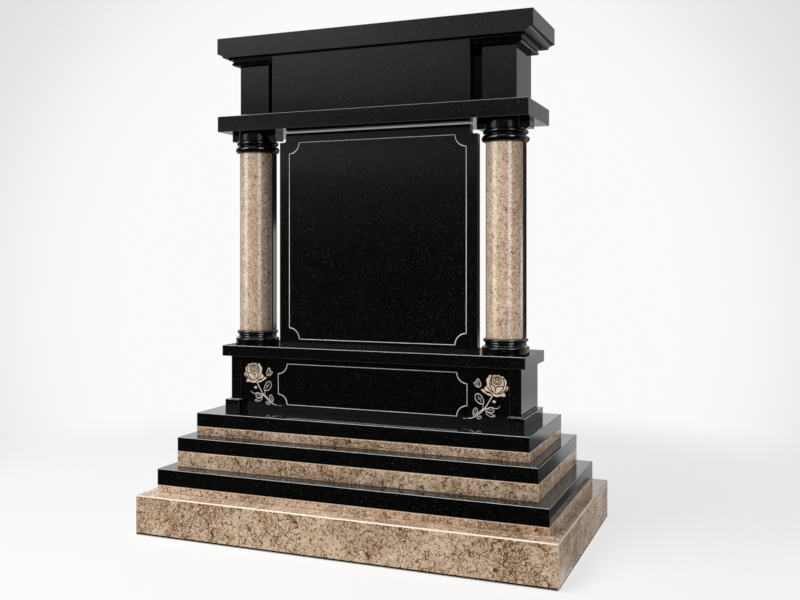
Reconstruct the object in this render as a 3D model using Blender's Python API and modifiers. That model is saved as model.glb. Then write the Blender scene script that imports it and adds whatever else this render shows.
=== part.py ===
"""Family memorial in black and brown granite: a stepped base, a pedestal, two engaged
columns beside a free-standing tablet, a lintel, an attic and a cornice.

Metres, +Z up, front towards -Y, origin on the ground under the middle of the base.
"""

import math

import bmesh
import bpy
from mathutils import Matrix, Vector

# Joints: each stone stops this far short of the next
JOINT = 0.0003

# Base plinth
BASE_WIDTH = 1.500
BASE_DEPTH = 0.845
BASE_HEIGHT = 0.1395
BASE_ARRIS = 0.004

# The three steps, from below: a brown course and a black slab of one plan.
# Each tread is what shows of the stone below it, at the ends, the front and the back.
LOWER_END_TREAD = 0.0425
LOWER_FRONT_TREAD = 0.0675
LOWER_BACK_TREAD = 0.0765
LOWER_COURSE_HEIGHT = 0.0243
LOWER_SLAB_HEIGHT = 0.0575

MIDDLE_END_TREAD = 0.0465
MIDDLE_FRONT_TREAD = 0.055
MIDDLE_BACK_TREAD = 0.061
MIDDLE_COURSE_HEIGHT = 0.0555
MIDDLE_SLAB_HEIGHT = 0.0505

UPPER_END_TREAD = 0.0425
UPPER_FRONT_TREAD = 0.058
UPPER_BACK_TREAD = 0.065
UPPER_COURSE_HEIGHT = 0.0317
UPPER_SLAB_HEIGHT = 0.0500

# Pedestal: die with a recessed panel between end piers that stand on foot blocks
FOOT_END_TREAD = 0.0475
FOOT_FRONT_TREAD = 0.116
FOOT_BACK_TREAD = 0.085
FOOT_HEIGHT = 0.036
FOOT_END_REACH = 0.015
FOOT_FRONT_REACH = 0.019
FOOT_BACK_REACH = 0.015
FOOT_INNER_REACH = 0.003
DIE_HEIGHT = 0.198
DIE_PIER_WIDTH = 0.041
PANEL_RECESS = 0.012

CAP_END_REACH = 0.021
CAP_FRONT_REACH = 0.031
CAP_BACK_REACH = 0.010
CAP_HEIGHT = 0.040

# Space between the pedestal cap and the lintel
OPENING_HEIGHT = 0.7915

# Engaged columns. Their flat backs lie against the pilasters, on the plane of the tablet's face.
# Every other turned member reaches out from the shaft.
SHAFT_RADIUS = 0.0636
TURNING_STEPS = 28
COLUMN_END_MARGIN = 0.0165
COLUMN_FRONT_MARGIN = 0.015

BASE_DISC_REACH = 0.0144
BASE_DISC_HEIGHT = 0.026
BASE_NECK_REACH = 0.0032
BASE_NECK_HEIGHT = 0.015
BASE_RING_REACH = 0.0102
BASE_RING_HEIGHT = 0.012

TORUS_REACH = 0.0154
TORUS_HEIGHT = 0.025
COLLAR_REACH = 0.0114
COLLAR_HEIGHT = 0.0165
DRUM_REACH = 0.0054
GROOVE_REACH = 0.0019
GROOVE_HEIGHT = 0.0025
BLOCK_REACH = 0.0135
BLOCK_HEIGHT = 0.0295
BLOCK_FRONT = 0.025
BLOCK_REAR_REACH = 0.007

# The tablet and the pilasters are sawn from slab of one thickness.
SLAB_THICKNESS = 0.030
PILASTER_REACH = 0.0045

TABLET_END_GAP = 0.018
TABLET_HEAD_GAP = 0.005
NOTCH_END_GAP = 0.030
NOTCH_DROP = 0.0085
NOTCH_FILLET = 0.009

# Lintel, attic and cornice
LINTEL_END_REACH = 0.0155
LINTEL_FRONT_REACH = 0.025
LINTEL_BACK_REACH = 0.158
LINTEL_HEIGHT = 0.0580

ATTIC_HEIGHT = 0.219
ATTIC_END_TREAD = 0.0575
ATTIC_BACK_TREAD = 0.032
ATTIC_PIER_WIDTH = 0.120
ATTIC_PIER_TREAD = 0.069
ATTIC_RECESS_WIDTH = 0.033
ATTIC_RECESS_DEPTH = 0.060
FRIEZE_TREAD = 0.0365

# Moulded head of each attic pier, from below: a roll, a hollow and a fillet
ROLL_REACH = 0.0230
ROLL_HEIGHT = 0.0130
HOLLOW_REACH = 0.0185
HOLLOW_HEIGHT = 0.0070
FILLET_REACH = 0.0320
FILLET_HEIGHT = 0.0060

CORNICE_END_REACH = 0.037
CORNICE_FRONT_REACH = 0.0215
CORNICE_BACK_REACH = 0.036
CORNICE_HEIGHT = 0.0745
CORNICE_COVE_WIDTH = 0.023
CORNICE_COVE_HEIGHT = 0.015

ARRIS = 0.0015
FINE_ARRIS = 0.0008
ROUND_STEPS = 4

BLACK_GRANITE = (0.012, 0.012, 0.013, 1.0)
BROWN_GRANITE = (0.42, 0.29, 0.19, 1.0)


def clear_scene():
    for obj in list(bpy.data.objects):
        bpy.data.objects.remove(obj, do_unlink=True)


def new_collection(name):
    collection = bpy.data.collections.new(name)
    bpy.context.scene.collection.children.link(collection)
    return collection


def polished(name, colour):
    material = bpy.data.materials.new(name + "_granite")
    material.use_nodes = True
    shader = material.node_tree.nodes["Principled BSDF"]
    shader.inputs["Base Color"].default_value = colour
    shader.inputs["Roughness"].default_value = 0.08
    shader.inputs["Metallic"].default_value = 0.0
    material.diffuse_color = colour
    return material


def add_stone(name, mesh, colour, collection):
    """An object for one stone, in its collection and with its own polished finish."""
    obj = bpy.data.objects.new(name, mesh)
    mesh.materials.clear()
    mesh.materials.append(polished(name, colour))
    collection.objects.link(obj)
    return obj


def soften_arrises(obj, width):
    bevel = obj.modifiers.new("arrises", "BEVEL")
    bevel.width = width
    bevel.segments = 1
    bevel.limit_method = "ANGLE"
    bevel.angle_limit = math.radians(40)


def box_mesh(name, low, high):
    low = Vector(low)
    high = Vector(high)
    size = high - low
    bm = bmesh.new()
    bmesh.ops.create_cube(bm, size=1.0)
    bmesh.ops.scale(bm, vec=size, verts=bm.verts)
    bmesh.ops.translate(bm, vec=(low + high) / 2, verts=bm.verts)
    mesh = bpy.data.meshes.new(name)
    bm.to_mesh(mesh)
    bm.free()
    return mesh


def slab(name, plan, bottom, height, colour, collection, arris=ARRIS):
    """A rectangular stone standing on the level bottom, a joint short of what lies on it."""
    low = (-plan.half, -plan.front, bottom)
    high = (plan.half, plan.back, bottom + height - JOINT)
    obj = add_stone(name, box_mesh(name, low, high), colour, collection)
    soften_arrises(obj, arris)
    return obj


def add_cutter(name, mesh):
    obj = bpy.data.objects.new(name, mesh)
    obj.hide_render = True
    obj.display_type = "WIRE"
    cutters.objects.link(obj)
    return obj


def boolean(obj, other, operation):
    modifier = obj.modifiers.new(other.name, "BOOLEAN")
    modifier.operation = operation
    modifier.object = other
    modifier.solver = "EXACT"


def arc(centre, radius, start, end, steps):
    """Points of an arc in a plane, from one angle to another in degrees."""
    points = []
    for step in range(steps + 1):
        angle = math.radians(start + (end - start) * step / steps)
        points.append((centre[0] + radius * math.cos(angle), centre[1] + radius * math.sin(angle)))
    return points


def upright_outline(name, points, front, back):
    """A mesh of a closed outline in the XZ plane, drawn out along Y from front to back."""
    curve = bpy.data.curves.new(name, "CURVE")
    curve.dimensions = "2D"
    curve.fill_mode = "BOTH"
    curve.extrude = (front + back) / 2
    spline = curve.splines.new("POLY")
    spline.points.add(len(points) - 1)
    for point, (x, z) in zip(spline.points, points):
        point.co = (x, z, 0.0, 1.0)
    spline.use_cyclic_u = True
    guide = bpy.data.objects.new(name + "_outline", curve)
    cutters.objects.link(guide)
    bpy.context.view_layer.update()
    evaluated = guide.evaluated_get(bpy.context.evaluated_depsgraph_get())
    mesh = bpy.data.meshes.new_from_object(evaluated)
    mesh.name = name
    bpy.data.objects.remove(guide, do_unlink=True)
    bm = bmesh.new()
    bm.from_mesh(mesh)
    bmesh.ops.remove_doubles(bm, verts=bm.verts, dist=0.00001)
    bmesh.ops.rotate(bm, cent=(0, 0, 0), matrix=Matrix.Rotation(math.radians(90), 3, "X"), verts=bm.verts)
    bmesh.ops.translate(bm, vec=(0, (back - front) / 2, 0), verts=bm.verts)
    bmesh.ops.dissolve_limit(
        bm, angle_limit=math.radians(0.5), use_dissolve_boundaries=False, verts=bm.verts, edges=bm.edges
    )
    bmesh.ops.recalc_face_normals(bm, faces=bm.faces)
    bm.to_mesh(mesh)
    bm.free()
    return mesh


def engaged_turning(name, profile, depth):
    """Half of a turned form, its flat back drawn straight out by depth.

    The profile runs down the outer side, as (radius, height) points.
    """
    bm = bmesh.new()
    outline = [(0.0, profile[0][1])] + profile + [(0.0, profile[-1][1])]
    verts = [bm.verts.new((radius, 0.0, height)) for radius, height in outline]
    edges = [bm.edges.new(pair) for pair in zip(verts, verts[1:])]
    bmesh.ops.spin(
        bm,
        geom=verts + edges,
        cent=(0, 0, 0),
        axis=(0, 0, 1),
        angle=-math.pi,
        steps=TURNING_STEPS,
    )
    bmesh.ops.remove_doubles(bm, verts=bm.verts, dist=0.00001)
    open_edges = [edge for edge in bm.edges if edge.is_boundary]
    made = bmesh.ops.contextual_create(bm, geom=open_edges)
    if depth > 0:
        drawn = bmesh.ops.extrude_face_region(bm, geom=made["faces"] + open_edges)
        moved = [item for item in drawn["geom"] if isinstance(item, bmesh.types.BMVert)]
        bmesh.ops.translate(bm, vec=(0, depth, 0), verts=moved)
    bmesh.ops.recalc_face_normals(bm, faces=bm.faces)
    mesh = bpy.data.meshes.new(name)
    bm.to_mesh(mesh)
    bm.free()
    mesh.shade_smooth()
    mesh.set_sharp_from_angle(angle=math.radians(30))
    return mesh


def roll_profile(radius, top, height, steps=ROUND_STEPS):
    """Outer half of a roll moulding that reaches radius, from its top down."""
    half = height / 2
    middle = (radius - half, top - half)
    return arc(middle, half, 90, -90, 2 * steps)


class Plan:
    """A stone's outline seen from above: half its width, and how far it runs forward and back."""

    def __init__(self, half, front, back):
        self.half = half
        self.front = front
        self.back = back

    def within(self, end, front, back):
        """The plan set in by a tread at each end, at the front and at the back."""
        return Plan(self.half - end, self.front - front, self.back - back)

    def beyond(self, end, front, back):
        return self.within(-end, -front, -back)


base_plan = Plan(BASE_WIDTH / 2, BASE_DEPTH / 2, BASE_DEPTH / 2)
lower_plan = base_plan.within(LOWER_END_TREAD, LOWER_FRONT_TREAD, LOWER_BACK_TREAD)
middle_plan = lower_plan.within(MIDDLE_END_TREAD, MIDDLE_FRONT_TREAD, MIDDLE_BACK_TREAD)
upper_plan = middle_plan.within(UPPER_END_TREAD, UPPER_FRONT_TREAD, UPPER_BACK_TREAD)
foot_plan = upper_plan.within(FOOT_END_TREAD, FOOT_FRONT_TREAD, FOOT_BACK_TREAD)
die_plan = foot_plan.within(FOOT_END_REACH, FOOT_FRONT_REACH, FOOT_BACK_REACH)
cap_plan = die_plan.beyond(CAP_END_REACH, CAP_FRONT_REACH, CAP_BACK_REACH)

base_disc_radius = SHAFT_RADIUS + BASE_DISC_REACH
torus_radius = SHAFT_RADIUS + TORUS_REACH
block_half = torus_radius + BLOCK_REACH
column_x = cap_plan.half - base_disc_radius - COLUMN_END_MARGIN
column_front = cap_plan.front - base_disc_radius - COLUMN_FRONT_MARGIN
slab_back = SLAB_THICKNESS - column_front
block_back = slab_back + BLOCK_REAR_REACH

lintel_plan = Plan(column_x + block_half, column_front + torus_radius, block_back)
lintel_plan = lintel_plan.beyond(LINTEL_END_REACH, LINTEL_FRONT_REACH, LINTEL_BACK_REACH)
pier_plan = lintel_plan.within(ATTIC_END_TREAD, ATTIC_PIER_TREAD, ATTIC_BACK_TREAD)
pier_inner = pier_plan.half - ATTIC_PIER_WIDTH
frieze_plan = Plan(pier_inner - ATTIC_RECESS_WIDTH, lintel_plan.front - FRIEZE_TREAD, pier_plan.back)
cornice_plan = Plan(pier_plan.half, frieze_plan.front, pier_plan.back)
cornice_plan = cornice_plan.beyond(FILLET_REACH, 0.0, FILLET_REACH)
cornice_plan = cornice_plan.beyond(CORNICE_END_REACH, CORNICE_FRONT_REACH, CORNICE_BACK_REACH)


def place(obj, side):
    obj.location = (side * column_x, -column_front, 0.0)
    return obj


def stepped_base(collection):
    """The plinth and the three steps; returns the level of the topmost slab."""
    level = 0.0
    slab("base_plinth", base_plan, level, BASE_HEIGHT, BROWN_GRANITE, collection, BASE_ARRIS)
    level += BASE_HEIGHT
    steps = (
        ("lower", lower_plan, LOWER_COURSE_HEIGHT, LOWER_SLAB_HEIGHT),
        ("middle", middle_plan, MIDDLE_COURSE_HEIGHT, MIDDLE_SLAB_HEIGHT),
        ("upper", upper_plan, UPPER_COURSE_HEIGHT, UPPER_SLAB_HEIGHT),
    )
    for name, plan, course_height, slab_height in steps:
        slab(name + "_course", plan, level, course_height, BROWN_GRANITE, collection)
        level += course_height
        slab(name + "_step", plan, level, slab_height, BLACK_GRANITE, collection)
        level += slab_height
    return level


def pedestal(level, collection):
    """The die, with its panel and foot blocks cut from one stone, and the cap slab."""
    top = level + DIE_HEIGHT
    block = box_mesh(
        "pedestal_die",
        (-die_plan.half, -die_plan.front, level),
        (die_plan.half, die_plan.back, top - JOINT),
    )
    die = add_stone("pedestal_die", block, BLACK_GRANITE, collection)
    panel_half = die_plan.half - DIE_PIER_WIDTH
    recess = box_mesh(
        "panel_recess",
        (-panel_half, -foot_plan.front, level - FOOT_HEIGHT),
        (panel_half, -die_plan.front + PANEL_RECESS, top + FOOT_HEIGHT),
    )
    boolean(die, add_cutter("panel_recess", recess), "DIFFERENCE")
    for side, word in ((-1, "left"), (1, "right")):
        ends = sorted((side * foot_plan.half, side * (panel_half - FOOT_INNER_REACH)))
        foot = box_mesh(
            "foot_block_" + word,
            (ends[0], -foot_plan.front, level),
            (ends[1], foot_plan.back, level + FOOT_HEIGHT),
        )
        boolean(die, add_cutter("foot_block_" + word, foot), "UNION")
    soften_arrises(die, FINE_ARRIS)
    slab("pedestal_cap", cap_plan, top, CAP_HEIGHT, BLACK_GRANITE, collection)
    return top + CAP_HEIGHT


def column_base(level, side, word, collection):
    """Turned base: a disc, a hollow neck and a ring, drawn back to the pilaster's rear face."""
    disc_top = level + BASE_DISC_HEIGHT
    neck_top = disc_top + BASE_NECK_HEIGHT
    ring_top = neck_top + BASE_RING_HEIGHT
    profile = roll_profile(SHAFT_RADIUS + BASE_RING_REACH, ring_top - JOINT, BASE_RING_HEIGHT - JOINT)
    hollow = BASE_NECK_HEIGHT / 2
    centre = (SHAFT_RADIUS + BASE_NECK_REACH + hollow, neck_top - hollow)
    profile += arc(centre, hollow, 140, 220, ROUND_STEPS)
    edge = BASE_DISC_HEIGHT / 5
    rounding = (base_disc_radius - edge, disc_top - edge)
    profile += arc(rounding, edge, 90, 0, ROUND_STEPS)
    profile.append((base_disc_radius, level))
    name = "column_base_" + word
    place(add_stone(name, engaged_turning(name, profile, SLAB_THICKNESS), BLACK_GRANITE, collection), side)
    return ring_top


def column_shaft(bottom, top, side, word, collection):
    """Engaged shaft and the pilaster slab that its flat back lies against."""
    profile = [(SHAFT_RADIUS, top - JOINT), (SHAFT_RADIUS, bottom)]
    name = "column_shaft_" + word
    place(add_stone(name, engaged_turning(name, profile, 0.0), BROWN_GRANITE, collection), side)
    name = "back_pilaster_" + word
    half = SHAFT_RADIUS + PILASTER_REACH
    mesh = box_mesh(name, (-half, JOINT, bottom), (half, SLAB_THICKNESS, top - JOINT))
    soften_arrises(place(add_stone(name, mesh, BLACK_GRANITE, collection), side), FINE_ARRIS)


def column_capital(bottom, top, side, word, collection):
    """Turned torus, collar and drum, with the square block that carries the lintel behind them."""
    torus_top = bottom + TORUS_HEIGHT
    groove_top = torus_top + GROOVE_HEIGHT
    collar_top = groove_top + COLLAR_HEIGHT
    block_bottom = top - BLOCK_HEIGHT
    lap = FINE_ARRIS
    drum = SHAFT_RADIUS + DRUM_REACH
    groove = SHAFT_RADIUS + GROOVE_REACH
    profile = [(drum, top - JOINT - lap), (drum, block_bottom), (groove, block_bottom)]
    profile.append((groove, collar_top))
    profile += roll_profile(SHAFT_RADIUS + COLLAR_REACH, collar_top, COLLAR_HEIGHT)
    profile.append((groove, groove_top))
    profile.append((groove, torus_top))
    profile += roll_profile(torus_radius, torus_top, TORUS_HEIGHT)
    name = "column_capital_" + word
    turning = engaged_turning(name, profile, SLAB_THICKNESS)
    capital = place(add_stone(name, turning, BLACK_GRANITE, collection), side)
    rear = SLAB_THICKNESS + BLOCK_REAR_REACH
    block = box_mesh(
        name + "_block",
        (-block_half, -BLOCK_FRONT, block_bottom),
        (block_half, rear, top - JOINT),
    )
    boolean(capital, place(add_cutter(name + "_block", block), side), "UNION")


def tablet(level, height, collection):
    """Free-standing panel; a rounded notch at each upper corner clears the capital."""
    half = column_x - torus_radius - TABLET_END_GAP
    top = level + height - TABLET_HEAD_GAP
    shoulder = level + height - BLOCK_HEIGHT - NOTCH_DROP
    inner = column_x - block_half - NOTCH_END_GAP
    right = [(half, level), (half, shoulder)]
    right += arc((inner + NOTCH_FILLET, shoulder + NOTCH_FILLET), NOTCH_FILLET, 270, 180, ROUND_STEPS)
    right.append((inner, top))
    left = [(-x, z) for x, z in reversed(right)]
    mesh = upright_outline("tablet", right + left, column_front, slab_back)
    soften_arrises(add_stone("tablet", mesh, BLACK_GRANITE, collection), FINE_ARRIS)


def columns_and_tablet(level, collection):
    top = level + OPENING_HEIGHT
    block_bottom = top - BLOCK_HEIGHT
    torus_bottom = block_bottom - COLLAR_HEIGHT - 2 * GROOVE_HEIGHT - TORUS_HEIGHT
    for side, word in ((-1, "left"), (1, "right")):
        shaft_bottom = column_base(level, side, word, collection)
        column_shaft(shaft_bottom, torus_bottom, side, word, collection)
        column_capital(torus_bottom, top, side, word, collection)
    tablet(level, OPENING_HEIGHT, collection)
    return top


def grow(bm, face, low, high, height):
    """Draw a top face up to a rectangle at a new height, and return the face there."""
    drawn = bmesh.ops.extrude_discrete_faces(bm, faces=[face])
    face = drawn["faces"][0]
    middle = face.calc_center_median()
    for vert in face.verts:
        vert.co.x = low[0] if vert.co.x < middle.x else high[0]
        vert.co.y = low[1] if vert.co.y < middle.y else high[1]
        vert.co.z = height
    return face


def attic_pier(name, level, side, collection):
    """Pier whose head is moulded on the front, the back and the outer end."""
    top = level + ATTIC_HEIGHT - JOINT
    fillet_bottom = top - FILLET_HEIGHT
    hollow_bottom = fillet_bottom - HOLLOW_HEIGHT
    head_bottom = hollow_bottom - ROLL_HEIGHT
    half_roll = ROLL_HEIGHT / 2
    rings = [
        (ROLL_REACH - half_roll + reach, height)
        for reach, height in arc((0.0, head_bottom + half_roll), half_roll, -90, 90, 2 * ROUND_STEPS)
    ]
    sweep = FILLET_REACH - HOLLOW_REACH
    for step in range(ROUND_STEPS + 1):
        angle = math.radians(90) * step / ROUND_STEPS
        reach = HOLLOW_REACH + sweep * (1 - math.cos(angle))
        rings.append((reach, hollow_bottom + HOLLOW_HEIGHT * math.sin(angle)))
    rings.append((FILLET_REACH, top))

    bm = bmesh.new()
    bmesh.ops.create_cube(bm, size=1.0)
    low = Vector((pier_inner, -pier_plan.front, level))
    high = Vector((pier_plan.half, pier_plan.back, head_bottom))
    bmesh.ops.scale(bm, vec=high - low, verts=bm.verts)
    bmesh.ops.translate(bm, vec=(low + high) / 2, verts=bm.verts)
    face = max(bm.faces, key=lambda candidate: candidate.calc_center_median().z)
    head_inner = frieze_plan.half + JOINT
    for reach, height in rings:
        low = (head_inner, -pier_plan.front - reach)
        high = (pier_plan.half + reach, pier_plan.back + reach)
        face = grow(bm, face, low, high, height)
    if side < 0:
        bmesh.ops.scale(bm, vec=(-1, 1, 1), verts=bm.verts)
    bmesh.ops.remove_doubles(bm, verts=bm.verts, dist=0.00001)
    bmesh.ops.recalc_face_normals(bm, faces=bm.faces)
    mesh = bpy.data.meshes.new(name)
    bm.to_mesh(mesh)
    bm.free()
    mesh.shade_smooth()
    mesh.set_sharp_from_angle(angle=math.radians(35))
    add_stone(name, mesh, BLACK_GRANITE, collection)


def attic(level, collection):
    """The frieze block with its low rear shoulders, and a pier at each end."""
    top = level + ATTIC_HEIGHT
    frieze = slab("attic_frieze", frieze_plan, level, ATTIC_HEIGHT, BLACK_GRANITE, collection)
    half = pier_inner - JOINT
    head_height = ROLL_HEIGHT + HOLLOW_HEIGHT + FILLET_HEIGHT
    shoulders = box_mesh(
        "frieze_shoulders",
        (-half, -pier_plan.front + ATTIC_RECESS_DEPTH, level),
        (half, pier_plan.back, top - head_height - 2 * JOINT),
    )
    boolean(frieze, add_cutter("frieze_shoulders", shoulders), "UNION")
    for side, word in ((-1, "left"), (1, "right")):
        attic_pier("attic_pier_" + word, level, side, collection)
    return top


def cornice(level, collection):
    """Top slab; a cove runs from front to back along the lower edge of each end."""
    half = cornice_plan.half
    top = level + CORNICE_HEIGHT
    right = [(half - CORNICE_COVE_WIDTH, level)]
    for step in range(1, 2 * ROUND_STEPS + 1):
        angle = math.radians(90) * step / (2 * ROUND_STEPS)
        x = half - CORNICE_COVE_WIDTH * math.cos(angle)
        right.append((x, level + CORNICE_COVE_HEIGHT * math.sin(angle)))
    right.append((half, top))
    left = [(-x, z) for x, z in reversed(right)]
    mesh = upright_outline("cornice", right + left, cornice_plan.front, cornice_plan.back)
    soften_arrises(add_stone("cornice", mesh, BLACK_GRANITE, collection), ARRIS)


clear_scene()
memorial = new_collection("granite_memorial")
cutters = new_collection("cutters")
cutters.hide_render = True

ground = stepped_base(memorial)
ground = pedestal(ground, memorial)
ground = columns_and_tablet(ground, memorial)
slab("lintel", lintel_plan, ground, LINTEL_HEIGHT, BLACK_GRANITE, memorial)
ground += LINTEL_HEIGHT
ground = attic(ground, memorial)
cornice(ground, memorial)
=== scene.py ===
import math

import bmesh
import bpy
from mathutils import Matrix, Vector


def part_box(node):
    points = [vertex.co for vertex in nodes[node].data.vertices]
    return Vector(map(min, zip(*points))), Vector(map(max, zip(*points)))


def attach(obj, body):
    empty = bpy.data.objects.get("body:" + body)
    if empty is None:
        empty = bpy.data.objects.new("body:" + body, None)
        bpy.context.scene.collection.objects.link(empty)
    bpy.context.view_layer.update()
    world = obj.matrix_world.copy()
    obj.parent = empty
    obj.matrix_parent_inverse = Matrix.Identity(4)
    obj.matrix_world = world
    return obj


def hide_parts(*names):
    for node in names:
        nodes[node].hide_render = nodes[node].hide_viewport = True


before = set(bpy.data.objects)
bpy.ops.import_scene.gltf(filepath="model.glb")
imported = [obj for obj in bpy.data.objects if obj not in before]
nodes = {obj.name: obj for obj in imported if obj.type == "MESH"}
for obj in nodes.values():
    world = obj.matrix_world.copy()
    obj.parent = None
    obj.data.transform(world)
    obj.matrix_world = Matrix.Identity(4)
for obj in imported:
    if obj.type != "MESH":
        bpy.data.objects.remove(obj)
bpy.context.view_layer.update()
print("frame loaded:", len(nodes), "stones")


# Node helpers

def newMaterial(name):
    material = bpy.data.materials.new(name)
    material.use_nodes = True
    tree = material.node_tree
    return material, tree, tree.nodes["Principled BSDF"]


def addNode(tree, kind, **settings):
    node = tree.nodes.new(kind)
    for key, value in settings.items():
        setattr(node, key, value)
    return node


def setInputs(node, **values):
    for key, value in values.items():
        node.inputs[key].default_value = value


def objectPoint(tree, turn=(0.0, 0.0, 0.0), shift=(0.0, 0.0, 0.0)):
    coords = addNode(tree, "ShaderNodeTexCoord")
    mapping = addNode(tree, "ShaderNodeMapping")
    mapping.inputs["Rotation"].default_value = turn
    mapping.inputs["Location"].default_value = shift
    tree.links.new(coords.outputs["Object"], mapping.inputs["Vector"])
    return mapping.outputs["Vector"]


def noise(tree, point, scale, detail=2.0, roughness=0.5):
    node = addNode(tree, "ShaderNodeTexNoise")
    setInputs(node, Scale=scale, Detail=detail, Roughness=roughness)
    tree.links.new(point, node.inputs["Vector"])
    return node


def voronoi(tree, point, scale, feature="F1"):
    node = addNode(tree, "ShaderNodeTexVoronoi", feature=feature)
    setInputs(node, Scale=scale)
    tree.links.new(point, node.inputs["Vector"])
    return node


def remap(tree, value, fromMin, fromMax, toMin=0.0, toMax=1.0, smooth=True):
    node = addNode(tree, "ShaderNodeMapRange", interpolation_type="SMOOTHSTEP" if smooth else "LINEAR")
    setInputs(node, **{"From Min": fromMin, "From Max": fromMax, "To Min": toMin, "To Max": toMax})
    tree.links.new(value, node.inputs["Value"])
    return node.outputs["Result"]


def maths(tree, operation, first, second):
    node = addNode(tree, "ShaderNodeMath", operation=operation)
    for socket, value in zip(node.inputs, (first, second)):
        if isinstance(value, (int, float)):
            socket.default_value = value
        else:
            tree.links.new(value, socket)
    return node.outputs[0]


def mixColour(tree, factor, first, second):
    node = addNode(tree, "ShaderNodeMix", data_type="RGBA")
    for socket, value in ((node.inputs[0], factor), (node.inputs[6], first), (node.inputs[7], second)):
        if isinstance(value, bpy.types.NodeSocket):
            tree.links.new(value, socket)
        elif isinstance(value, (int, float)):
            socket.default_value = value
        else:
            socket.default_value = (*value, 1.0)
    return node.outputs[2]


def warpedPoint(tree, point, scale, amount):
    # pushes a pattern sideways by a soft noise, so that its cells lose their straight sides
    push = noise(tree, point, scale, 2.0)
    centred = addNode(tree, "ShaderNodeVectorMath", operation="SUBTRACT")
    tree.links.new(push.outputs["Color"], centred.inputs[0])
    centred.inputs[1].default_value = (0.5, 0.5, 0.5)
    scaled = addNode(tree, "ShaderNodeVectorMath", operation="SCALE")
    tree.links.new(centred.outputs[0], scaled.inputs[0])
    setInputs(scaled, Scale=amount)
    added = addNode(tree, "ShaderNodeVectorMath", operation="ADD")
    tree.links.new(point, added.inputs[0])
    tree.links.new(scaled.outputs[0], added.inputs[1])
    return added.outputs[0]


def addBump(tree, shader, height, strength, distance):
    bump = addNode(tree, "ShaderNodeBump")
    setInputs(bump, Strength=strength, Distance=distance)
    tree.links.new(height, bump.inputs["Height"])
    tree.links.new(bump.outputs["Normal"], shader.inputs["Normal"])


# Stone

blackStone = {
    "ground": (0.0003, 0.0003, 0.0003),
    "cloud": (0.0008, 0.0009, 0.0008),
    "cloudScale": 9.0,
    "toCloud": (0.35, 0.65),
    "fleck": (0.11, 0.11, 0.105),
    "fleckScale": 170.0,
    "fleckRadius": 0.0011,
    "fleckPick": (0.50, 0.85),
    "dust": (0.009, 0.009, 0.0085),
    "dustScale": 420.0,
    "dustPick": (0.72, 1.0),
    # painted highlight colour on the cut arrises, and the share of it kept where they are upright
    "arris": (0.22, 0.22, 0.21),
    "uprightArris": 0.2,
    "roughness": (0.05, 0.075),
    "polishScale": 3.0,
    "ior": 1.5,
    "turnedIor": 1.36,
}

# Scales are cells a metre, and the values that start with "to" are limits on a pattern. Strokes are dark
# threads: scale, half width in metres, strength, and how much of them is hidden. Grains are the seeds that
# are picked, from and to, and their strength.
brownStone = {
    "light": (0.66, 0.50, 0.355),
    "middle": (0.50, 0.355, 0.235),
    "dark": (0.33, 0.185, 0.095),
    "vein": (0.105, 0.049, 0.021),
    "fleck": (0.92, 0.80, 0.66),
    "bendScale": 18.0,
    "bend": 0.030,
    "patchScale": 5.0,
    "cloudScale": 22.0,
    "toCrowd": (0.35, 0.68),
    "toMiddle": (0.42, 0.66),
    "toDark": (0.60, 0.86),
    "darkShare": 0.85,
    "grainScale": 300.0,
    "lightGrains": (0.55, 1.0, 0.55),
    "darkGrains": (0.60, 1.0, 0.50),
    "fleckGrains": (0.93, 1.0, 0.80),
    "strokes": ((30.0, 0.0012, 0.95, 0.585), (68.0, 0.0011, 1.0, 0.55), (115.0, 0.0010, 0.85, 0.58)),
    "crowding": 0.10,
    # painted contact shadow: a dark band this high along the floor, in this colour
    "footLine": 0.0095,
    "footColour": (0.004, 0.0035, 0.003),
    # painted highlight colour on the cut arrises, and the share of it kept where they are upright
    "arris": (0.70, 0.56, 0.45),
    "uprightArris": 0.7,
    "roughness": (0.09, 0.144),
    "polishScale": 60.0,
    "ior": 1.5,
}

shaftStone = {
    **brownStone,
    "light": (0.64, 0.485, 0.355),
    "middle": (0.53, 0.385, 0.275),
    "dark": (0.40, 0.255, 0.165),
    "patchScale": 7.0,
    "cloudScale": 30.0,
    "strokes": ((62.0, 0.0007, 0.85, 0.57), (100.0, 0.0008, 0.85, 0.57), (150.0, 0.0008, 0.75, 0.58)),
    "crowding": 0.03,
    "footLine": 0.0,
    "ior": 2.0,
}


def fromSeed(tree, seeds, channel, low, high, top=1.0):
    return remap(tree, seeds.outputs[channel], low, high, 0.0, top)


def cellSeeds(tree, cells):
    # three random numbers for each cell
    seeds = addNode(tree, "ShaderNodeSeparateColor")
    tree.links.new(cells.outputs["Color"], seeds.inputs[0])
    return seeds


polish = {"detail": 2.0, "limits": (0.3, 0.7)}


def polished(tree, shader, point, stone, ior):
    # a polish that is a little uneven
    uneven = noise(tree, point, stone["polishScale"], polish["detail"])
    rough = remap(tree, uneven.outputs["Fac"], *polish["limits"], *stone["roughness"])
    tree.links.new(rough, shader.inputs["Roughness"])
    setInputs(shader, IOR=ior)


# limits on the largest part of a normal, and on its upward part, for the painted arris highlights
arrisHighlightLimits = {"slanting": (0.72, 0.76), "upwards": (0.2, 0.6)}


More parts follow.
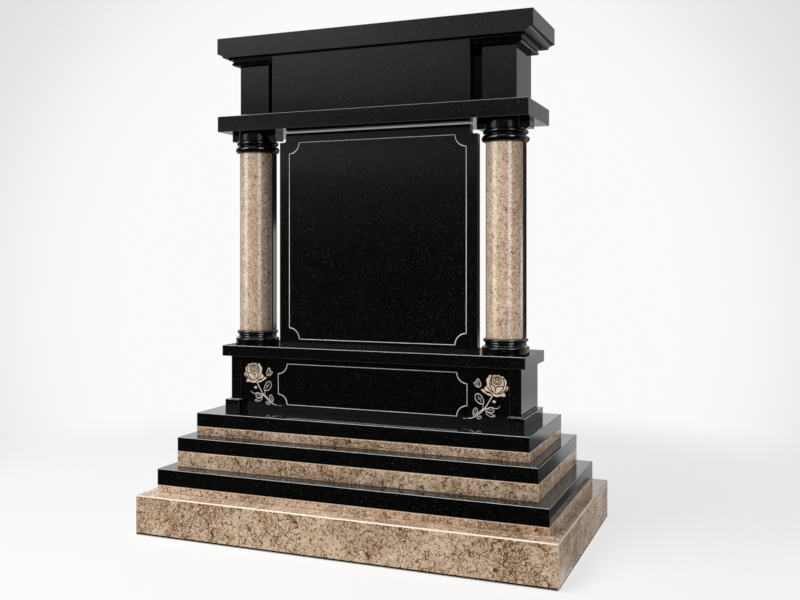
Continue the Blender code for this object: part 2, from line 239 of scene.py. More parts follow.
def arrisHighlightMask(tree, upright):
    # a painted highlight mask: one on faces that lie across the three axes, which are the cut arrises, and less
    # where they are upright, as if lit from above
    coords = addNode(tree, "ShaderNodeTexCoord")
    size = addNode(tree, "ShaderNodeVectorMath", operation="ABSOLUTE")
    tree.links.new(coords.outputs["Normal"], size.inputs[0])
    parts = addNode(tree, "ShaderNodeSeparateXYZ")
    tree.links.new(size.outputs[0], parts.inputs[0])
    x, y, z = parts.outputs
    largest = maths(tree, "MAXIMUM", maths(tree, "MAXIMUM", x, y), z)
    cut = remap(tree, largest, *arrisHighlightLimits["slanting"], 1.0, 0.0)
    upwards = addNode(tree, "ShaderNodeSeparateXYZ")
    tree.links.new(coords.outputs["Normal"], upwards.inputs[0])
    facing = remap(tree, upwards.outputs[2], *arrisHighlightLimits["upwards"], upright, 1.0)
    return maths(tree, "MULTIPLY", cut, facing)


def makeBlackGranite(name, stone, arrisHighlights, ior):
    material, tree, shader = newMaterial(name)
    point = objectPoint(tree)
    cloud = noise(tree, point, stone["cloudScale"], 3.0)
    colour = mixColour(tree, remap(tree, cloud.outputs["Fac"], *stone["toCloud"]), stone["ground"], stone["cloud"])
    dust = voronoi(tree, point, stone["dustScale"])
    dusty = fromSeed(tree, cellSeeds(tree, dust), 0, *stone["dustPick"])
    colour = mixColour(tree, dusty, colour, stone["dust"])
    grain = voronoi(tree, point, stone["fleckScale"])
    seeds = cellSeeds(tree, grain)
    reach = stone["fleckRadius"] * stone["fleckScale"]
    size = remap(tree, grain.outputs["Distance"], reach * 0.5, reach, 1.0, 0.0)
    flecks = maths(tree, "MULTIPLY", size, fromSeed(tree, seeds, 0, *stone["fleckPick"]))
    colour = mixColour(tree, flecks, colour, stone["fleck"])
    if arrisHighlights:
        # painted highlight on the cut arrises
        colour = mixColour(tree, arrisHighlightMask(tree, stone["uprightArris"]), colour, stone["arris"])
    tree.links.new(colour, shader.inputs["Base Color"])
    polished(tree, shader, point, stone, ior)
    return material


# measured in the threads' own cells
threads = {"bendScale": 1.3, "bend": 0.30, "gapScale": 0.9, "gapSoft": 0.05}


def makeBrownGranite(name, stone):
    material, tree, shader = newMaterial(name)
    point = objectPoint(tree, turn=(0.5, 0.35, 0.8))
    bent = warpedPoint(tree, point, stone["bendScale"], stone["bend"])
    # pale ground, darker clouds, and broad patches where the threads crowd together
    patch = noise(tree, bent, stone["patchScale"], 3.0, 0.55)
    cloud = noise(tree, bent, stone["cloudScale"], 4.0, 0.65)
    crowd = remap(tree, patch.outputs["Fac"], *stone["toCrowd"])
    tone = maths(tree, "ADD", cloud.outputs["Fac"], maths(tree, "MULTIPLY", crowd, stone["crowding"] * 1.5))
    colour = mixColour(tree, remap(tree, tone, *stone["toMiddle"]), stone["light"], stone["middle"])
    dark = remap(tree, tone, *stone["toDark"], 0.0, stone["darkShare"])
    colour = mixColour(tree, dark, colour, stone["dark"])
    # crystals
    grain = voronoi(tree, point, stone["grainScale"])
    seeds = cellSeeds(tree, grain)
    for channel, kind in enumerate(("light", "dark", "fleck")):
        colour = mixColour(tree, fromSeed(tree, seeds, channel, *stone[kind + "Grains"]), colour, stone[kind])
    # threads lie along the borders of cells and are broken up by noise
    for number, (scale, halfWidth, strength, hidden) in enumerate(stone["strokes"]):
        place = warpedPoint(tree, point, scale * threads["bendScale"], threads["bend"] / scale)
        cells = voronoi(tree, place, scale, "DISTANCE_TO_EDGE")
        reach = halfWidth * scale
        crack = remap(tree, cells.outputs["Distance"], reach * 0.5, reach, 1.0, 0.0)
        elsewhere = objectPoint(tree, shift=(0.3, 0.7, 1.1 + number))
        gaps = noise(tree, elsewhere, scale * threads["gapScale"], 2.0)
        kept = maths(tree, "ADD", gaps.outputs["Fac"], maths(tree, "MULTIPLY", crowd, stone["crowding"]))
        shown = remap(tree, kept, hidden - threads["gapSoft"], hidden + threads["gapSoft"], 0.0, strength)
        colour = mixColour(tree, maths(tree, "MULTIPLY", crack, shown), colour, stone["vein"])
    # the flat stones have a painted contact shadow, a dark line along the floor, and painted highlights on their
    # cut arrises
    if stone["footLine"]:
        parts = addNode(tree, "ShaderNodeSeparateXYZ")
        tree.links.new(objectPoint(tree), parts.inputs[0])
        # painted contact shadow along the floor
        contactShadow = remap(tree, parts.outputs[2], stone["footLine"] * 0.85, stone["footLine"], 1.0, 0.0)
        colour = mixColour(tree, contactShadow, colour, stone["footColour"])
        # painted highlight on the cut arrises
        colour = mixColour(tree, arrisHighlightMask(tree, stone["uprightArris"]), colour, stone["arris"])
    tree.links.new(colour, shader.inputs["Base Color"])
    polished(tree, shader, point, stone, stone["ior"])
    return material


# the flat black stones get painted arris highlights; the rounded and turned ones don't
blackGranite = makeBlackGranite("blackGranite", blackStone, True, blackStone["ior"])
blackRounded = makeBlackGranite("blackRoundedGranite", blackStone, False, blackStone["ior"])
blackTurned = makeBlackGranite("blackTurnedGranite", blackStone, False, blackStone["turnedIor"])
brownGranite = makeBrownGranite("brownGranite", brownStone)
brownShaft = makeBrownGranite("brownShaftGranite", shaftStone)

for name, stone in nodes.items():
    if name.startswith("column_shaft"):
        finish = brownShaft
    elif name == "base_plinth" or name.endswith("_course"):
        finish = brownGranite
    elif name.startswith(("column_", "attic_pier")):
        finish = blackRounded
    else:
        finish = blackGranite
    stone.data.materials.clear()
    stone.data.materials.append(finish)
print("stones finished")


# Turned stones, finer than their solids and with a smooth polish

welds = {"piece": 0.000002, "seam": 0.00001}


def finishPiece(name, bm, material):
    bmesh.ops.remove_doubles(bm, verts=bm.verts, dist=welds["piece"])
    bmesh.ops.recalc_face_normals(bm, faces=bm.faces)
    mesh = bpy.data.meshes.new(name)
    bm.to_mesh(mesh)
    bm.free()
    mesh.materials.append(material)
    piece = bpy.data.objects.new(name, mesh)
    bpy.context.scene.collection.objects.link(piece)
    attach(piece, "root")
    return piece


column = {
    "shaftRadius": 0.0636,
    "steps": 60,
    "roundSteps": 8,
    "shaftEdge": 0.0008,
    "sharpFrom": 32,
    "disc": {"reach": 0.0144, "height": 0.026, "edge": 0.0052, "straight": 0.0006},
    "neck": {"reach": 0.0032, "height": 0.015, "from": 140, "to": 220},
    "ring": {"reach": 0.0102},
    "torus": {"reach": 0.0154, "height": 0.025},
    "collar": {"reach": 0.0114, "height": 0.0165},
    "groove": {"reach": 0.0019, "height": 0.0025},
    "drum": {"reach": 0.0054, "lap": 0.0008},
    "block": {"height": 0.0292, "front": 0.025, "arris": 0.0008},
}


def arc(centre, radius, start, end, steps):
    points = []
    for step in range(steps + 1):
        angle = math.radians(start + (end - start) * step / steps)
        points.append((centre[0] + radius * math.cos(angle), centre[1] + radius * math.sin(angle)))
    return points


def roll(radius, top, bottom):
    # outer half of a roll, from its top down
    half = (top - bottom) / 2
    return arc((radius - half, top - half), half, 90, -90, 2 * column["roundSteps"])


def halfTurned(profile, depth):
    # half a turn of the profile, and its flat back drawn out by depth
    bm = bmesh.new()
    outline = [(0.0, profile[0][1]), *profile, (0.0, profile[-1][1])]
    verts = [bm.verts.new((radius, 0.0, height)) for radius, height in outline]
    edges = [bm.edges.new(pair) for pair in zip(verts, verts[1:])]
    turn = {"axis": (0, 0, 1), "cent": (0, 0, 0), "angle": -math.pi}
    bmesh.ops.spin(bm, geom=verts + edges, steps=column["steps"], **turn)
    bmesh.ops.remove_doubles(bm, verts=bm.verts, dist=welds["seam"])
    rim = [edge for edge in bm.edges if edge.is_boundary]
    back = bmesh.ops.contextual_create(bm, geom=rim)["faces"]
    if depth > 0:
        drawn = bmesh.ops.extrude_face_region(bm, geom=back + rim)["geom"]
        moved = [item for item in drawn if isinstance(item, bmesh.types.BMVert)]
        bmesh.ops.translate(bm, vec=(0, depth, 0), verts=moved)
    bmesh.ops.recalc_face_normals(bm, faces=bm.faces)
    return bm


def looseObject(bm, name):
    mesh = bpy.data.meshes.new(name)
    bm.to_mesh(mesh)
    bm.free()
    obj = bpy.data.objects.new(name, mesh)
    bpy.context.scene.collection.objects.link(obj)
    return obj


def joined(first, second):
    # one closed skin round both
    body = looseObject(first, "body")
    other = looseObject(second, "other")
    union = body.modifiers.new("union", "BOOLEAN")
    union.operation = "UNION"
    union.solver = "EXACT"
    union.object = other
    bpy.context.view_layer.update()
    made = bpy.data.meshes.new_from_object(body.evaluated_get(bpy.context.evaluated_depsgraph_get()))
    bm = bmesh.new()
    bm.from_mesh(made)
    for obj in (body, other):
        mesh = obj.data
        bpy.data.objects.remove(obj, do_unlink=True)
        bpy.data.meshes.remove(mesh)
    bpy.data.meshes.remove(made)
    return bm


def blockWithArrises(low, high, arris):
    bm = bmesh.new()
    bmesh.ops.create_cube(bm, size=1.0)
    bmesh.ops.scale(bm, vec=high - low, verts=bm.verts)
    bmesh.ops.translate(bm, vec=(low + high) / 2, verts=bm.verts)
    shape = {"affect": "EDGES", "segments": 1, "profile": 0.5, "material": -1}
    bmesh.ops.bevel(bm, geom=bm.edges[:], offset=arris, offset_type="OFFSET", **shape)
    return bm


def finishTurned(name, bm, node, material):
    low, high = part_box(node)
    bmesh.ops.translate(bm, vec=((low.x + high.x) / 2, -columnFront, low.z), verts=bm.verts)
    piece = finishPiece(name, bm, material)
    piece.data.shade_smooth()
    piece.data.set_sharp_from_angle(angle=math.radians(column["sharpFrom"]))
    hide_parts(node)


shaft = column["shaftRadius"]
discRadius = shaft + column["disc"]["reach"]
columnFront = -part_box("column_base_left")[0].y - discRadius

for word in ("left", "right"):
    low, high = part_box("column_base_" + word)
    height = high.z - low.z
    disc = column["disc"]
    neck = column["neck"]
    neckTop = disc["height"] + neck["height"]
    hollow = neck["height"] / 2
    profile = roll(shaft + column["ring"]["reach"], height, neckTop)
    middle = (shaft + neck["reach"] + hollow, neckTop - hollow)
    profile += arc(middle, hollow, neck["from"], neck["to"], column["roundSteps"])
    edgeBottom = disc["height"] - disc["edge"]
    profile += arc((discRadius - disc["edge"], edgeBottom), disc["edge"], 90, 0, column["roundSteps"])
    profile.append((discRadius, edgeBottom - disc["straight"]))
    profile.append((discRadius, 0.0))
    base = halfTurned(profile, high.y + columnFront)
    finishTurned("turned_base_" + word, base, "column_base_" + word, blackTurned)

    low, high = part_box("column_shaft_" + word)
    height = high.z - low.z
    edge = column["shaftEdge"]
    profile = [(shaft - edge, height), (shaft, height - edge), (shaft, edge), (shaft - edge, 0.0)]
    bm = halfTurned(profile, 0.0)
    finishTurned("turned_shaft_" + word, bm, "column_shaft_" + word, brownShaft)

    low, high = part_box("column_capital_" + word)
    height = high.z - low.z
    torus = column["torus"]
    collar = column["collar"]
    groove = column["groove"]
    block = column["block"]
    grooveTop = torus["height"] + groove["height"]
    collarTop = grooveTop + collar["height"]
    blockBottom = height - block["height"]
    drumRadius = shaft + column["drum"]["reach"]
    grooveRadius = shaft + groove["reach"]
    profile = [(drumRadius, height - column["drum"]["lap"]), (drumRadius, blockBottom)]
    profile.append((grooveRadius, blockBottom))
    profile.append((grooveRadius, collarTop))
    profile += roll(shaft + collar["reach"], collarTop, grooveTop)
    profile += [(grooveRadius, grooveTop), (grooveRadius, torus["height"])]
    profile += roll(shaft + torus["reach"], torus["height"], 0.0)
    half = (high.x - low.x) / 2
    rear = high.y + columnFront
    turning = halfTurned(profile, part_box("column_base_" + word)[1].y + columnFront)
    corners = (Vector((-half, -block["front"], blockBottom)), Vector((half, rear, height)))
    capital = joined(turning, blockWithArrises(*corners, block["arris"]))
    finishTurned("turned_capital_" + word, capital, "column_capital_" + word, blackTurned)
print("columns turned")


# Engraved line frames and painted roses

inks = {
    "line": (0.78, 0.76, 0.71),
    "petal": (0.82, 0.66, 0.49),
    "petalLine": (0.050, 0.020, 0.010),
    "leaf": (0.86, 0.78, 0.68),
    "worn": 0.78,
    "grain": 160.0,
    "relief": 0.0003,
    "roughness": 0.45,
}


def makeInk(name, colour):
    material, tree, shader = newMaterial(name)
    point = objectPoint(tree)
    tone = noise(tree, point, inks["grain"], 3.0)
    darker = tuple(inks["worn"] * part for part in colour)
    worn = remap(tree, tone.outputs["Fac"], 0.35, 0.65)
    tree.links.new(mixColour(tree, worn, darker, colour), shader.inputs["Base Color"])
    setInputs(shader, Roughness=inks["roughness"])
    addBump(tree, shader, tone.outputs["Fac"], 0.2, inks["relief"])
    return material


lineInk = makeInk("engravedLine", inks["line"])
petalInk = makeInk("rosePetal", inks["petal"])
petalLineInk = makeInk("rosePetalLine", inks["petalLine"])
leafInk = makeInk("roseLeaf", inks["leaf"])


def curveMesh(curve):
    # the curve as a mesh, and nothing left of the curve
    guide = bpy.data.objects.new("guide", curve)
    bpy.context.scene.collection.objects.link(guide)
    bpy.context.view_layer.update()
    made = bpy.data.meshes.new_from_object(guide.evaluated_get(bpy.context.evaluated_depsgraph_get()))
    bpy.data.objects.remove(guide, do_unlink=True)
    bpy.data.curves.remove(curve)
    bm = bmesh.new()
    bm.from_mesh(made)
    bpy.data.meshes.remove(made)
    return bm


def addPath(curve, points, closed, smooth=True):
    # points are (x, y) or (x, y, radius)
    spline = curve.splines.new("BEZIER" if smooth else "POLY")
    knots = spline.bezier_points if smooth else spline.points
    knots.add(len(points) - 1)
    for knot, point in zip(knots, points):
        knot.radius = point[2] if len(point) > 2 else 1.0
        if smooth:
            knot.co = (point[0], point[1], 0.0)
            knot.handle_left_type = "AUTO"
            knot.handle_right_type = "AUTO"
        else:
            knot.co = (point[0], point[1], 0.0, 1.0)
    spline.use_cyclic_u = closed


def strokes(paths, width, thickness, smooth=True, steps=6):
    # rounded strokes along the paths, flattened to a film
    curve = bpy.data.curves.new("strokes", "CURVE")
    curve.dimensions = "3D"
    curve.resolution_u = steps
    curve.bevel_depth = width / 2
    curve.bevel_resolution = 1
    curve.use_fill_caps = True
    curve.twist_mode = "Z_UP"
    for points, closed in paths:
        addPath(curve, points, closed, smooth)
    bm = curveMesh(curve)
    bmesh.ops.scale(bm, vec=(1.0, 1.0, thickness / width), verts=bm.verts)
    return bm


def films(paths, thickness, steps=5):
    # filled outlines, drawn out to a thin film
    curve = bpy.data.curves.new("films", "CURVE")
    curve.dimensions = "2D"
    curve.fill_mode = "BOTH"
    curve.resolution_u = steps
    curve.extrude = thickness / 2
    for points in paths:
        addPath(curve, points, True)
    return curveMesh(curve)


def standUp(bm, x, y, z, side=1):
    # from a flat drawing to the stone's face; side -1 mirrors it
    bmesh.ops.rotate(bm, cent=(0, 0, 0), matrix=Matrix.Rotation(math.radians(90), 3, "X"), verts=bm.verts)
    bmesh.ops.scale(bm, vec=(side, 1, 1), verts=bm.verts)
    bmesh.ops.translate(bm, vec=(x, y, z), verts=bm.verts)


def scallopedFrame(halfWidth, low, high, radius, steps=10):
    # rectangle whose corners are hollow quarter rounds about the corner points
    corners = (
        ((halfWidth, high), 180, 270),
        ((halfWidth, low), 90, 180),
        ((-halfWidth, low), 0, 90),
        ((-halfWidth, high), 270, 360),
    )
    points = []
    for (x, z), start, end in corners:
        for step in range(steps + 1):
            angle = math.radians(start + (end - start) * step / steps)
            points.append((x + radius * math.cos(angle), z + radius * math.sin(angle)))
    return points


lineFrames = {
    "tablet_line": {
        "node": "tablet", "inset": 0.0, "half": 0.345, "low": 0.670, "high": 1.3985, "radius": 0.041,
    },
    "panel_line": {
        "node": "pedestal_die", "inset": 0.031, "half": 0.364, "low": 0.433, "high": 0.582, "radius": 0.037,
    },
    "width": 0.0031,
    "thickness": 0.0004,
}

for name in ("tablet_line", "panel_line"):
    drawn = lineFrames[name]
    path = scallopedFrame(drawn["half"], drawn["low"], drawn["high"], drawn["radius"])
    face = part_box(drawn["node"])[0].y + drawn["inset"]
    line = strokes([(path, True)], lineFrames["width"], lineFrames["thickness"], smooth=False)
    standUp(line, 0.0, face, 0.0)
    finishPiece(name, line, lineInk)
print("line frames engraved")

# One rose in millimetres about the middle of its bloom, drawn for the left and mirrored for the right
rose = {
    "centreX": 0.466,
    "centreZ": 0.545,
    "lift": 0.00015,
    "bloom": [
        (7.5, 35), (13, 31), (19, 34), (25, 31), (28, 25), (33, 20), (33, 9), (31.5, -2), (39, -9), (41, -15),
        (34, -20), (23, -23), (15, -28), (8, -36), (-7, -38), (-18, -35), (-31, -36), (-32, -30), (-28, -25),
        (-37, -16), (-42, -8), (-40, -2), (-34.5, -4), (-36, 7), (-34.5, 18), (-28, 23), (-24, 31), (-16, 30),
        (-10, 35), (-1, 33),
    ],
    "petalLines": [
        [(20, 5), (14, 1), (7, -3), (3, -10), (2, -23)],
        [(3, -10), (-7, -4), (-17, -2.5), (-26, -4)],
        [(14, 31), (19, 19), (21.5, 5), (18, -9), (9.5, -24)],
        [(-24, 26), (-28, 13), (-27, -4), (-20.5, -17), (-7, -26)],
        [(31, -5), (24, -15), (12, -25)],
        [(10, -26), (-6, -29), (-22, -24), (-31, -15)],
        [(-29, -22), (-34, -13), (-36, -5)],
        [(14, 30), (8, 26), (-2, 29), (-12, 27), (-22, 22)],
        [(13, 24), (16, 14), (13, 4)],
    ],
    "spiral": {"centre": (-6, 13), "start": 2.5, "end": 17.5, "turns": 2.3, "flat": 0.78, "knots": 26},
    "bud": [[(64, 19), (56, 9), (53, 0), (58, -9), (67, -8), (74, -1), (77, 5), (70, 8)]],
    "budLines": [[(64, 17), (63, 6), (60, -7)], [(70, 7), (68, 0), (61, -7)]],
    "sepals": [
        [(15, -36), (24, -29), (33, -27), (40, -19), (52, -16), (46, -24), (37, -29), (31, -33), (22, -36)],
        [(1, -54), (7, -51), (13, -54), (9, -59), (3, -59)],
    ],
    "stems": [
        [
            (12, -36, 1.1), (22, -52, 1.1), (33, -70, 1.1), (47, -88, 1.3), (68, -105, 1.3), (90, -116, 0.9),
            (100, -116, 0.3),
        ],
        [(54, -96, 0.6), (47, -82, 0.7), (45, -66, 0.7)],
        [(36, -76, 0.8), (48, -84, 0.7), (66, -98, 0.7), (80, -108, 0.6)],
        [(-14, -68, 0.3), (-7, -76, 0.6), (4, -78, 0.7), (17, -75, 0.8), (30, -80, 0.9), (40, -80, 0.9)],
        [(104, -118, 0.4), (110, -118, 0.5), (116, -117, 0.3)],
    ],
    "leaves": [
        [(44, -64), (46, -48), (54, -36), (65, -31), (72, -37), (72, -50), (64, -60), (53, -65)],
        [(38, -84), (30, -79), (18, -76), (8, -84), (12, -92), (26, -91)],
        [(34, -92), (24, -94), (12, -100), (4, -103), (14, -106), (28, -102)],
        [(79, -104), (68, -98), (65, -88), (70, -80), (78, -86), (81, -96)],
        [(52, -108), (58, -107), (67, -112), (62, -116), (54, -113)],
    ],
    "leafVeins": [
        [(50, -60), (58, -47), (64, -38)],
        [(36, -85), (24, -83), (13, -85)],
        [(78, -102), (74, -93), (71, -85)],
        [(56, -50), (52, -45)],
        [(58, -47), (64, -50)],
    ],
    "stemWidth": 0.0027,
    "outlineWidth": 0.0023,
    "veinWidth": 0.0016,
    "petalLineWidth": 0.0040,
    "thickness": 0.0003,
}


def inMetres(paths):
    return [[(point[0] / 1000, point[1] / 1000, *point[2:]) for point in path] for path in paths]


def spiralPath(drawn):
    # opens evenly from the heart outwards
    points = []
    for knot in range(drawn["knots"]):
        along = knot / (drawn["knots"] - 1)
        angle = math.tau * drawn["turns"] * along
        reach = drawn["start"] + (drawn["end"] - drawn["start"]) * along
        x = drawn["centre"][0] + reach * math.cos(angle)
        z = drawn["centre"][1] + reach * drawn["flat"] * math.sin(angle)
        points.append((x, z))
    return points


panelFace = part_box("pedestal_die")[0].y + lineFrames["panel_line"]["inset"]
for side, word in ((1, "left"), (-1, "right")):
    centre = (-side * rose["centreX"], panelFace - rose["lift"], rose["centreZ"])
    above = (centre[0], centre[1] - rose["thickness"] / 2, centre[2])
    bloom = films(inMetres([rose["bloom"]] + rose["sepals"]), rose["thickness"])
    standUp(bloom, *centre, side)
    finishPiece("rose_bloom_" + word, bloom, petalInk)
    curls = rose["petalLines"] + [spiralPath(rose["spiral"])]
    layers = (
        ("rose_petal_lines_", curls, False, "petalLine", petalLineInk),
        ("rose_stem_", rose["stems"], False, "stem", leafInk),
        ("rose_leaves_", rose["leaves"] + rose["bud"], True, "outline", leafInk),
        ("rose_leaf_veins_", rose["leafVeins"] + rose["budLines"], False, "vein", leafInk),
    )
    for name, paths, closed, width, ink in layers:
        drawn = [(path, closed) for path in inMetres(paths)]
        layer = strokes(drawn, rose[width + "Width"], rose["thickness"])
        standUp(layer, *(above if ink is petalLineInk else centre), side)
        finishPiece(name + word, layer, ink)
print("roses painted")


# Studio

studio = {
    "floorRadius": 3.2,
    "floorSides": 96,
    "floorRoughness": 0.9,
    "floorFadeStart": 1.7,
    "floorFadeEnd": 2.9,
    "floorColour": 0.22,
    "floorGlow": 0.70,
    "backdropCentre": 0.96,
    "backdropRim": 0.74,
    "backdropTowards": (-0.373, 0.926, -0.05),
    "backdropSpan": (0.87, 0.96),
    "ambient": 0.06,
}

narrow = {"size": (0.30, 0.8), "spread": 60}
lamps = {
    "keyLight": {
        "place": (-1.7, -4.6, 3.4), "target": (0.0, 0.0, 0.8), "power": 186,
        "size": (2.6, 2.6), "spread": 180,
    },
    "topLight": {
        "place": (-1.2, -0.9, 4.6), "target": (0.0, -0.2, 0.2), "power": 165,
        "size": (2.6, 2.0), "spread": 180,
    },
    "leftFill": {"place": (-1.50, -1.55, 1.10), "target": (-0.62, -0.20, 1.00), "power": 0.7, **narrow},
    "rightFill": {"place": (1.50, -1.05, 1.28), "target": (1.00, -0.18, 1.06), "power": 2.0, **narrow},
    "endFill": {"place": (2.60, 0.20, 0.42), "target": (0.80, -0.08, 0.0), "power": 1.8, **narrow},
}

# What the polish mirrors. Bearings are degrees from straight in front, to the right; heights are sines.
# The front and the back are (height, level) stops.
mirrored = {
    "panels": ("leftPanel", "rightPanel", "leftHead", "rightHead", "backPanel", "backLow", "leftHorizon"),
    "leftPanel": {"bearings": (-64, -36), "heights": (-0.078, 0.50), "glow": 1.75, "fade": 0.008},
    "rightPanel": {"bearings": (34, 57), "heights": (-0.082, 0.50), "glow": 1.65, "fade": 0.008},
    "leftHead": {"bearings": (-52, -26), "heights": (0.27, 0.66), "glow": 14.0, "fade": 0.02},
    "rightHead": {"bearings": (42, 68), "heights": (0.27, 0.66), "glow": 14.0, "fade": 0.02},
    "backPanel": {"bearings": (128, 158), "heights": (-0.075, 0.03), "glow": 1.6, "fade": 0.006},
    "backLow": {"bearings": (128, 158), "heights": (-0.20, -0.11), "glow": 1.1, "fade": 0.006},
    "leftHorizon": {"bearings": (-179, -138), "heights": (0.10, 0.50), "glow": 0.6, "fade": 0.03},
    "edge": 1.0,
    "overhead": {"heights": (0.72, 0.86), "glow": 4.5},
    "front": (
        (-0.30, 0.0), (0.0, 0.03), (0.07, 0.16), (0.105, 0.50), (0.125, 0.45), (0.14, 0.24), (0.155, 0.28),
        (0.17, 0.55), (0.22, 0.95), (0.40, 1.0),
    ),
    "frontFall": {"bearings": (-31, -17), "right": 0.48},
    "frontReach": {"bearings": (-75, 70), "fade": 6},
    "backStart": (-0.10, 0.35),
    "back": (
        (-0.45, 0.20), (-0.32, 0.60), (-0.24, 0.36), (-0.20, 0.72), (-0.17, 0.78), (-0.14, 0.50),
        (-0.10, 0.68), (-0.08, 0.03), (0.115, 0.03), (0.13, 0.42), (0.245, 0.40), (0.28, 0.85),
    ),
    "stepSlant": {
        "bearing": 167.2, "lean": 1.55, "height": -0.194, "top": -0.188, "bottom": -0.312, "soft": 0.006,
        "dim": 0.12,
    },
    "sides": 0.02,
}


def makeFloor():
    bm = bmesh.new()
    bmesh.ops.create_circle(bm, cap_ends=True, segments=studio["floorSides"], radius=studio["floorRadius"])
    mesh = bpy.data.meshes.new("studio_floor")
    bm.to_mesh(mesh)
    bm.free()
    floor = bpy.data.objects.new("studio_floor", mesh)
    bpy.context.scene.collection.objects.link(floor)
    material, tree, shader = newMaterial("studioFloor")
    grey = studio["floorColour"]
    setInputs(shader, Roughness=studio["floorRoughness"])
    setInputs(shader, **{"Base Color": (grey, grey, grey, 1.0), "Specular IOR Level": 0.0})
    setInputs(shader, **{"Emission Color": (1.0, 1.0, 1.0, 1.0), "Emission Strength": studio["floorGlow"]})
    # towards its rim the floor gives way to the backdrop
    length = addNode(tree, "ShaderNodeVectorMath", operation="LENGTH")
    tree.links.new(objectPoint(tree), length.inputs[0])
    shown = remap(tree, length.outputs["Value"], studio["floorFadeStart"], studio["floorFadeEnd"], 1.0, 0.0)
    tree.links.new(shown, shader.inputs["Alpha"])
    mesh.materials.append(material)
    floor.visible_glossy = False


def makeLights():
    for name, lamp in lamps.items():
        light = bpy.data.lights.new(name, "AREA")
        light.shape = "RECTANGLE"
        light.size, light.size_y = lamp["size"]
        light.energy = lamp["power"]
        light.spread = math.radians(lamp["spread"])
        softbox = bpy.data.objects.new(name, light)
        softbox.location = lamp["place"]
        aim = Vector(lamp["target"]) - Vector(lamp["place"])
        softbox.rotation_euler = aim.to_track_quat("-Z", "Y").to_euler()
        softbox.visible_camera = False
        softbox.visible_glossy = False
        bpy.context.scene.collection.objects.link(softbox)


def rampOver(tree, value, stops):
    # a curve through (value, level) stops, for values from -0.5 to 0.5
    node = addNode(tree, "ShaderNodeValToRGB")
    ramp = node.color_ramp
    while len(ramp.elements) < len(stops):
        ramp.elements.new(0.5)
    for element, (place, level) in zip(ramp.elements, stops):
        element.position = place + 0.5
        element.color = (level, level, level, 1.0)
    tree.links.new(remap(tree, value, -0.5, 0.5, smooth=False), node.inputs[0])
    return node.outputs[0]


def band(tree, value, low, high, soft):
    # one between low and high, with soft edges
    rise = remap(tree, value, low - soft, low + soft)
    fall = remap(tree, value, high - soft, high + soft, 1.0, 0.0)
    return maths(tree, "MULTIPLY", rise, fall)


def product(tree, *factors):
    result = factors[0]
    for factor in factors[1:]:
        result = maths(tree, "MULTIPLY", result, factor)
    return result


def between(tree, bearing, degrees, fade):
    return band(tree, bearing, math.radians(degrees[0]), math.radians(degrees[1]), math.radians(fade))


def dimmedSteps(tree, bearing, z):
    # low down, the front part of each step's side mirrors a darker part of the room than its rear part
    slant = mirrored["stepSlant"]
    soft = slant["soft"]
    turned = maths(tree, "SUBTRACT", bearing, math.radians(slant["bearing"]))
    leaning = maths(tree, "ADD", z, maths(tree, "MULTIPLY", turned, slant["lean"]))
    rear = remap(tree, leaning, slant["height"] - soft, slant["height"] + soft, slant["dim"], 1.0)
    within = band(tree, z, slant["bottom"], slant["top"], soft / 2)
    return maths(tree, "SUBTRACT", 1.0, product(tree, within, maths(tree, "SUBTRACT", 1.0, rear)))


def mirroredRoom(tree, x, y, z):
    bearing = maths(tree, "ARCTAN2", x, maths(tree, "MULTIPLY", y, -1.0))
    fall = mirrored["frontFall"]
    left, right = (math.radians(degrees) for degrees in fall["bearings"])
    toRight = remap(tree, bearing, left, right, 1.0, fall["right"], smooth=False)
    reach = mirrored["frontReach"]
    inFront = between(tree, bearing, reach["bearings"], reach["fade"])
    front = product(tree, rampOver(tree, z, mirrored["front"]), toRight, inFront)
    behind = remap(tree, y, *mirrored["backStart"])
    back = product(tree, rampOver(tree, z, mirrored["back"]), behind, dimmedSteps(tree, bearing, z))
    light = maths(tree, "ADD", maths(tree, "ADD", front, back), mirrored["sides"])
    for name in mirrored["panels"]:
        panel = mirrored[name]
        across = between(tree, bearing, panel["bearings"], mirrored["edge"])
        upright = band(tree, z, *panel["heights"], panel["fade"])
        light = maths(tree, "ADD", light, product(tree, across, upright, panel["glow"]))
    overhead = mirrored["overhead"]
    return maths(tree, "ADD", light, remap(tree, z, *overhead["heights"], 0.0, overhead["glow"]))


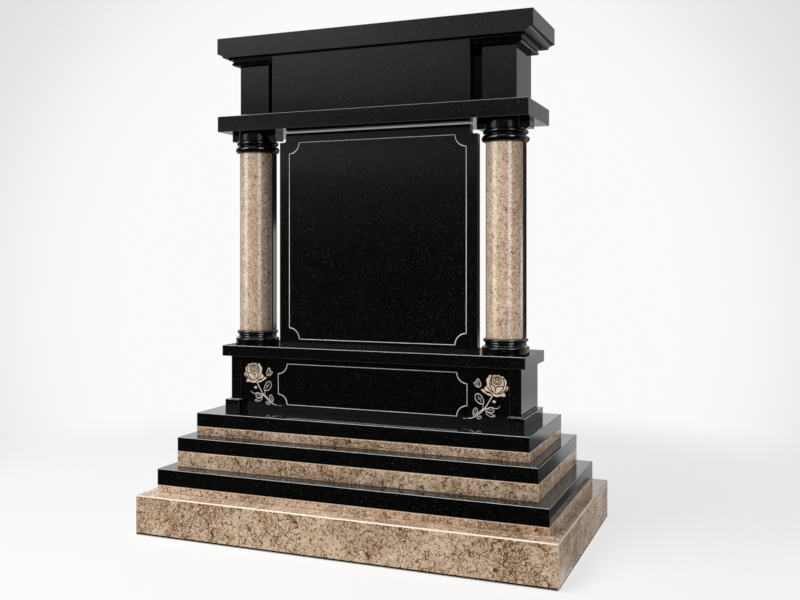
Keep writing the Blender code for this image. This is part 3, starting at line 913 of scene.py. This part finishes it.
def choose(tree, flag, yes, no):
    node = addNode(tree, "ShaderNodeMix", data_type="FLOAT")
    tree.links.new(flag, node.inputs[0])
    for socket, value in ((node.inputs[2], no), (node.inputs[3], yes)):
        if isinstance(value, bpy.types.NodeSocket):
            tree.links.new(value, socket)
        else:
            socket.default_value = value
    return node.outputs[0]


def makeWorld():
    world = bpy.data.worlds.new("studio")
    bpy.context.scene.world = world
    world.use_nodes = True
    world.cycles.sampling_method = "NONE"
    tree = world.node_tree
    background = tree.nodes["Background"]
    setInputs(background, Color=(1.0, 1.0, 1.0, 1.0))
    coords = addNode(tree, "ShaderNodeTexCoord")
    parts = addNode(tree, "ShaderNodeSeparateXYZ")
    tree.links.new(coords.outputs["Generated"], parts.inputs[0])
    path = addNode(tree, "ShaderNodeLightPath")
    # the camera sees a backdrop that is brightest straight behind the memorial, and polish sees the room
    towards = addNode(tree, "ShaderNodeVectorMath", operation="DOT_PRODUCT")
    tree.links.new(coords.outputs["Generated"], towards.inputs[0])
    towards.inputs[1].default_value = studio["backdropTowards"]
    levels = (studio["backdropRim"], studio["backdropCentre"])
    backdrop = remap(tree, towards.outputs["Value"], *studio["backdropSpan"], *levels)
    light = choose(tree, path.outputs["Is Glossy Ray"], mirroredRoom(tree, *parts.outputs), studio["ambient"])
    light = choose(tree, path.outputs["Is Camera Ray"], backdrop, light)
    tree.links.new(light, background.inputs["Strength"])


makeFloor()
makeLights()
makeWorld()
print("studio lit")

camera = {
    "place": (1.3377, -3.1250, 0.9821),
    "turn": 21.91,
    "lens": 42.13,
    "sensor": 36.0,
    "shiftY": -0.0564,
}


def makeCamera():
    lens = bpy.data.cameras.new("camera")
    lens.lens = camera["lens"]
    lens.sensor_width = camera["sensor"]
    lens.shift_y = camera["shiftY"]
    lens.dof.use_dof = False
    viewer = bpy.data.objects.new("camera", lens)
    viewer.location = camera["place"]
    viewer.rotation_euler = (math.radians(90), 0.0, math.radians(camera["turn"]))
    bpy.context.scene.collection.objects.link(viewer)
    bpy.context.scene.camera = viewer


makeCamera()
bpy.context.scene.view_settings.view_transform = "Standard"
bpy.context.scene.view_settings.look = "None"
print("camera set")
